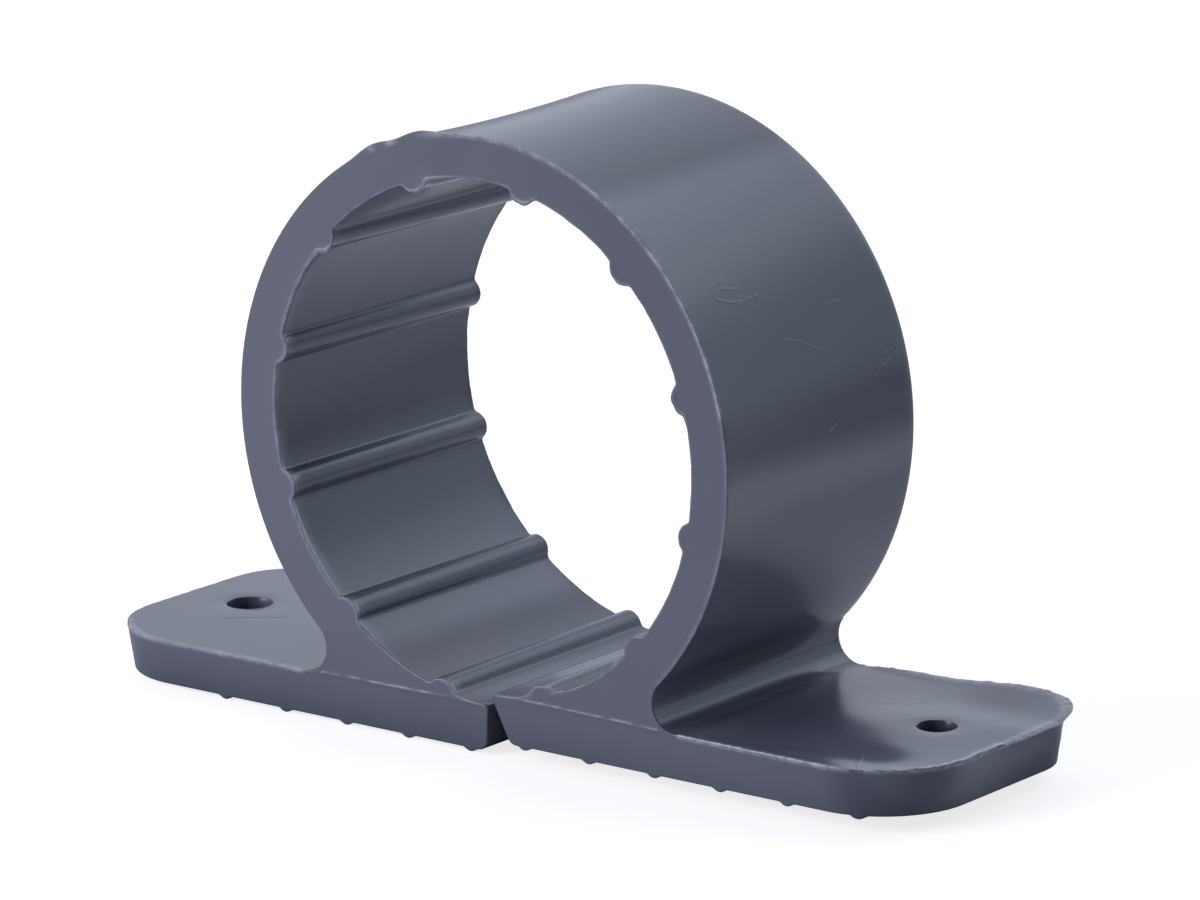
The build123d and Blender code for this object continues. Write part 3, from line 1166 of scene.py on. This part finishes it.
def blend(tree, factor, first, second, kind="RGBA"):
    """Mix of two colours or, for the kind FLOAT, of two numbers."""
    made = tree.nodes.new("ShaderNodeMix")
    made.data_type = kind
    feed(tree, factor, made.inputs["Factor"])
    feed(tree, first, made.inputs["A"])
    feed(tree, second, made.inputs["B"])
    return made.outputs["Result"]


def noise_texture(tree, place, scale, detail):
    """Node for noise with that many swells to the metre."""
    made = tree.nodes.new("ShaderNodeTexNoise")
    made.inputs["Scale"].default_value = scale
    made.inputs["Detail"].default_value = detail
    tree.links.new(place, made.inputs["Vector"])
    return made


def scratch_group():
    """Shader node group that masks a straight scratch between two places."""
    group = bpy.data.node_groups.new("scratch", "ShaderNodeTree")
    for name, kind in (("Place", "Vector"), ("From", "Vector"), ("To", "Vector"), ("Width", "Float")):
        group.interface.new_socket(name, in_out="INPUT", socket_type="NodeSocket" + kind)
    group.interface.new_socket("Mask", in_out="OUTPUT", socket_type="NodeSocketFloat")
    given = group.nodes.new("NodeGroupInput").outputs
    result = group.nodes.new("NodeGroupOutput").inputs
    here = vector_maths(group, "SUBTRACT", given["Place"], given["From"])
    line = vector_maths(group, "SUBTRACT", given["To"], given["From"])
    along = vector_maths(group, "DOT_PRODUCT", here, line)
    whole = vector_maths(group, "DOT_PRODUCT", line, line)
    part = maths(group, "DIVIDE", along, whole, clamp=True)
    away = vector_maths(group, "DISTANCE", here, vector_maths(group, "SCALE", line, part))
    group.links.new(ramp(group, away, 0, given["Width"], 1, 0, smooth=True), result["Mask"])
    return group


def scratches(tree, group, place, lines, width):
    """Draws lines of scratches through points in a material, and returns their mask."""
    mask = None
    for line in lines:
        for here, there in zip(line, line[1:]):
            scratch = tree.nodes.new("ShaderNodeGroup")
            scratch.node_tree = group
            for name, value in (("Place", place), ("From", here), ("To", there), ("Width", width)):
                feed(tree, value, scratch.inputs[name])
            drawn = scratch.outputs["Mask"]
            mask = drawn if mask is None else maths(tree, "MAXIMUM", mask, drawn)
    return mask


# Noises in the plastic, in swells to the metre and with their detail
CLOUDS = (120, 4)
SPECKS = (1300, 3)
GRAIN = (700, 2)
SPECK_RANGE = (0.36, 0.6)  # values of the specks between which flash and scratches come through
SPECK_LEAST = 0.45  # how much of them shows between the specks
GLOSS_SPREAD = 0.03  # how far the roughness goes up and down with the clouds
BUMP_STRENGTH = 0.2
BUMP_DISTANCE = 0.03 * MM
SCRATCH_RELIEF = 3  # against the grain's own height
DENT_RELIEF = -5


def plastic_material(form, finish):
    """Satin grey plastic, cloudy and lightly scratched, paler where the flash is thin and where sheen and
    highlights are painted.
    """
    material = bpy.data.materials.new("grey plastic")
    material.use_nodes = True
    tree = material.node_tree
    tree.nodes.clear()
    output = tree.nodes.new("ShaderNodeOutputMaterial")
    shader = tree.nodes.new("ShaderNodeBsdfPrincipled")
    tree.links.new(shader.outputs["BSDF"], output.inputs["Surface"])
    place = tree.nodes.new("ShaderNodeTexCoord").outputs["Object"]
    clouds = noise_texture(tree, place, *CLOUDS).outputs["Fac"]
    specks = noise_texture(tree, place, *SPECKS)
    grain = noise_texture(tree, place, *GRAIN).outputs["Fac"]

    # Scratches and dents, along lines that the specks lead astray
    shifted = vector_maths(tree, "ADD", place, [-SCRATCH_STRAY] * 3)
    strayed = vector_maths(tree, "MULTIPLY_ADD", specks.outputs["Color"], [2 * SCRATCH_STRAY] * 3, shifted)
    group = scratch_group()
    lines = [[on_ring(form, *point) for point in line] for line in RING_SCRATCHES]
    lines += [[on_foot(form, *point) for point in line] for line in FOOT_TEARS]
    raised = scratches(tree, group, strayed, lines, SCRATCH_WIDTH)
    lines = [[on_foot(form, *point) for point in line] for line in FOOT_DENTS]
    sunk = scratches(tree, group, strayed, lines, DENT_WIDTH)

    # Colour: clouds, then the flash's paleness with its painted sheen and highlights, and the scratches, as
    # far as the specks let them through
    broken = ramp(tree, specks.outputs["Fac"], *SPECK_RANGE, SPECK_LEAST, 1)
    attribute = tree.nodes.new("ShaderNodeAttribute")
    attribute.attribute_name = "flash"
    # Paleness of thin flash, partly its own whitening and partly painted light: glow through thin flash,
    # sheen and highlights
    thin = maths(tree, "MULTIPLY", attribute.outputs["Fac"], broken)
    worn = maths(tree, "MULTIPLY", raised, broken)
    cloudy = blend(tree, clouds, (*finish.plastic, 1), (*finish.mottle, 1))
    paler = blend(tree, thin, cloudy, (*finish.flash, 1))
    scuffed = blend(tree, worn, paler, (*finish.scuff, 1))
    tree.links.new(scuffed, shader.inputs["Base Color"])

    # Gloss and relief
    gloss = ramp(tree, clouds, 0, 1, finish.roughness - GLOSS_SPREAD, finish.roughness + GLOSS_SPREAD)
    tree.links.new(gloss, shader.inputs["Roughness"])
    relief = maths(tree, "MULTIPLY_ADD", raised, SCRATCH_RELIEF, grain)
    relief = maths(tree, "MULTIPLY_ADD", sunk, DENT_RELIEF, relief)
    bump = tree.nodes.new("ShaderNodeBump")
    bump.inputs["Strength"].default_value = BUMP_STRENGTH
    bump.inputs["Distance"].default_value = BUMP_DISTANCE
    tree.links.new(relief, bump.inputs["Height"])
    tree.links.new(bump.outputs["Normal"], shader.inputs["Normal"])
    return material


class PIPECLIP_OT_mould(bpy.types.Operator):
    """Makes the clip: the ring with its ribs and slit, the feet and the flash, as one moulding"""

    bl_idname = "pipe_clip.mould"
    bl_label = "Mould the clip"

    def execute(self, context):
        scene = context.scene
        form = ClipForm(scene.pipe_clip_sizes, scene.pipe_clip_flash)
        mesh = mould(form).mesh("pipe clip moulding")
        mesh.materials.append(plastic_material(form, scene.pipe_clip_finish))
        clip = bpy.data.objects.new("moulded_clip", mesh)
        scene.collection.objects.link(clip)
        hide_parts("pipe_clip")
        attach(clip, "root")
        return {"FINISHED"}


WHITE = (1, 1, 1, 1)

# Camera that was fitted to the photograph: its place, the direction it looks from, and its lens in mm
CAMERA_PLACE = Vector((0.401580, -0.511467, 0.189827))
CAMERA_AZIMUTH = radians(37.924)
CAMERA_ELEVATION = radians(14.010)
CAMERA_ROLL = radians(-0.6175)
CAMERA_LENS = 205.884
CAMERA_SENSOR = 36

# Lamps: the setting with their power, their place, width and tint. They all shine at the ring's middle
LAMP_TARGET = Vector((0, 0, 0.03))
LAMPS = (
    ("top", (-0.45, 0.3, 0.95), 1.2, (0.8, 0.86, 1)),
    ("left", (-0.6, -0.75, 0.38), 0.9, (0.88, 0.91, 1)),
    ("right", (0.38, 0.855, 0.475), 1.2, (0.72, 0.85, 1)),
    ("back", (-0.22, 0.9, 0.53), 1.55, (0.8, 0.86, 1)),
)

# Floor: how far it reaches to both sides, towards the camera and away from it, its grey under the lamps, and
# how brightly the camera sees it shine
FLOOR_SIDE = 0.9
FLOOR_NEAR = 0.1
FLOOR_FAR = 1.2
FLOOR_GREY = (0.48, 0.48, 0.48, 1)
FLOOR_ROUGHNESS = 0.9
FLOOR_SEEN = 0.78

# Light from the floor on the clip: direction that it grows in, where it starts and ends, and its strength
FLOOR_GLOW = (
    ((0, 1, 0), 0.021, 0.032, 0.55),
    ((0, 1, 0), 0.095, 0.12, -0.6),
    ((0, 1, 0), 0.16, 0.2, 0.3),
    ((0.03, -1, 0), 0.014, 0.022, 0.5),
    ((0, -1, 0), 0.03, 0.06, 0.2),
    ((1, -0.25, 0), 0.05, 0.056, 0.95),
    ((1, -0.25, 0), 0.062, 0.085, -0.9),
    ((0.8, -0.6, 0), 0.041, 0.05, -0.76),
)


def floor_glow(tree):
    """Adds up the floor's light behind, in front of and to the right of the clip."""
    place = tree.nodes.new("ShaderNodeTexCoord").outputs["Object"]
    glows = []
    for direction, start, end, strength in FLOOR_GLOW:
        along = vector_maths(tree, "DOT_PRODUCT", place, direction)
        glows.append(ramp(tree, along, start, end, 0, strength))
    total = glows[0]
    for glow in glows[1:-1]:
        total = maths(tree, "ADD", total, glow)
    return maths(tree, "ADD", total, glows[-1], clamp=True)


def floor_material(settings):
    """White floor that shines on the clip in some places, and evenly to the camera."""
    paint = bpy.data.materials.new("white floor")
    paint.use_nodes = True
    tree = paint.node_tree
    shader = tree.nodes["Principled BSDF"]
    shader.inputs["Base Color"].default_value = FLOOR_GREY
    shader.inputs["Roughness"].default_value = FLOOR_ROUGHNESS
    shader.inputs["Specular IOR Level"].default_value = 0
    seen = tree.nodes.new("ShaderNodeLightPath").outputs["Is Camera Ray"]
    strength = blend(tree, seen, floor_glow(tree), FLOOR_SEEN, kind="FLOAT")
    tint = blend(tree, seen, (*settings.backdrop, 1), WHITE)
    tree.links.new(strength, shader.inputs["Emission Strength"])
    tree.links.new(tint, shader.inputs["Emission Color"])
    return paint


def add_floor(scene, settings):
    """Adds the floor, turned as the camera is."""
    right = Vector((cos(CAMERA_AZIMUTH), sin(CAMERA_AZIMUTH), 0)) * FLOOR_SIDE
    away = Vector((-sin(CAMERA_AZIMUTH), cos(CAMERA_AZIMUTH), 0))
    near, far = -FLOOR_NEAR * away, FLOOR_FAR * away
    mesh = bpy.data.meshes.new("floor")
    mesh.from_pydata([near - right, near + right, far + right, far - right], [], [(0, 1, 2, 3)])
    mesh.materials.append(floor_material(settings))
    floor = bpy.data.objects.new("floor", mesh)
    scene.collection.objects.link(floor)


def add_world(scene, settings):
    """Puts a dim light all round, which the camera sees as white."""
    world = bpy.data.worlds.new("white room")
    world.use_nodes = True
    tree = world.node_tree
    background = tree.nodes["Background"]
    seen = tree.nodes.new("ShaderNodeLightPath").outputs["Is Camera Ray"]
    tint = blend(tree, seen, (*settings.backdrop, 1), WHITE)
    tree.links.new(tint, background.inputs["Color"])
    tree.links.new(ramp(tree, seen, 0, 1, settings.world, 1), background.inputs["Strength"])
    scene.world = world


def add_lamp(scene, name, place, size, strength, tint):
    """Adds a soft round light that the camera doesn't see."""
    lamp = bpy.data.lights.new(name, "AREA")
    lamp.shape = "DISK"
    lamp.size = size
    lamp.energy = strength
    lamp.color = tint
    light = bpy.data.objects.new(name, lamp)
    light.location = place
    light.rotation_euler = (Vector(place) - LAMP_TARGET).to_track_quat("Z", "Y").to_euler()
    light.visible_camera = False
    scene.collection.objects.link(light)


def add_camera(scene):
    """Adds the camera of the photograph's view."""
    lens = bpy.data.cameras.new("camera")
    lens.lens = CAMERA_LENS
    lens.sensor_width = CAMERA_SENSOR
    camera = bpy.data.objects.new("camera", lens)
    level = cos(CAMERA_ELEVATION)
    back = Vector((sin(CAMERA_AZIMUTH) * level, -cos(CAMERA_AZIMUTH) * level, sin(CAMERA_ELEVATION)))
    right = Vector((cos(CAMERA_AZIMUTH), sin(CAMERA_AZIMUTH), 0))
    up = back.cross(right)
    tilted = cos(CAMERA_ROLL) * right + sin(CAMERA_ROLL) * up
    upright = cos(CAMERA_ROLL) * up - sin(CAMERA_ROLL) * right
    turn = Matrix((tilted, upright, back)).transposed()
    camera.matrix_world = Matrix.Translation(CAMERA_PLACE) @ turn.to_4x4()
    scene.collection.objects.link(camera)
    scene.camera = camera


class PIPECLIP_OT_stage(bpy.types.Operator):
    """Sets a white floor, soft lights and the camera of the photograph's view"""

    bl_idname = "pipe_clip.stage"
    bl_label = "Set the stage"

    def execute(self, context):
        scene = context.scene
        settings = scene.pipe_clip_stage
        add_floor(scene, settings)
        add_world(scene, settings)
        for name, place, size, tint in LAMPS:
            add_lamp(scene, f"{name} light", place, size, getattr(settings, name), tint)
        add_camera(scene)
        scene.view_settings.view_transform = "Standard"
        return {"FINISHED"}


class PIPECLIP_PT_panel(bpy.types.Panel):
    """Lists the clip's operators and settings"""

    bl_idname = "PIPECLIP_PT_panel"
    bl_label = "Pipe clip"
    bl_space_type = "VIEW_3D"
    bl_region_type = "UI"
    bl_category = "Pipe clip"

    def draw(self, context):
        layout = self.layout
        layout.operator(PIPECLIP_OT_mould.bl_idname)
        layout.operator(PIPECLIP_OT_stage.bl_idname)
        scene = context.scene
        clip = (scene.pipe_clip_sizes, scene.pipe_clip_flash, scene.pipe_clip_finish)
        for group in (*clip, scene.pipe_clip_stage):
            box = layout.box()
            for name in group.__annotations__:
                box.prop(group, name)


CLASSES = (
    ClipSizes,
    ClipFlash,
    ClipFinish,
    StageSettings,
    PIPECLIP_OT_mould,
    PIPECLIP_OT_stage,
    PIPECLIP_PT_panel,
)


def register():
    """Registers the classes and hangs the settings on the scene."""
    for cls in CLASSES:
        bpy.utils.register_class(cls)
    bpy.types.Scene.pipe_clip_sizes = PointerProperty(type=ClipSizes)
    bpy.types.Scene.pipe_clip_flash = PointerProperty(type=ClipFlash)
    bpy.types.Scene.pipe_clip_finish = PointerProperty(type=ClipFinish)
    bpy.types.Scene.pipe_clip_stage = PointerProperty(type=StageSettings)


def unregister():
    """Takes the settings and the classes away again."""
    del bpy.types.Scene.pipe_clip_stage
    del bpy.types.Scene.pipe_clip_finish
    del bpy.types.Scene.pipe_clip_flash
    del bpy.types.Scene.pipe_clip_sizes
    for cls in reversed(CLASSES):
        bpy.utils.unregister_class(cls)


def main():
    """Registers the add-on, then makes the clip and its stage."""
    register()
    bpy.ops.pipe_clip.mould()
    bpy.ops.pipe_clip.stage()


if __name__ == "__main__":
    main()
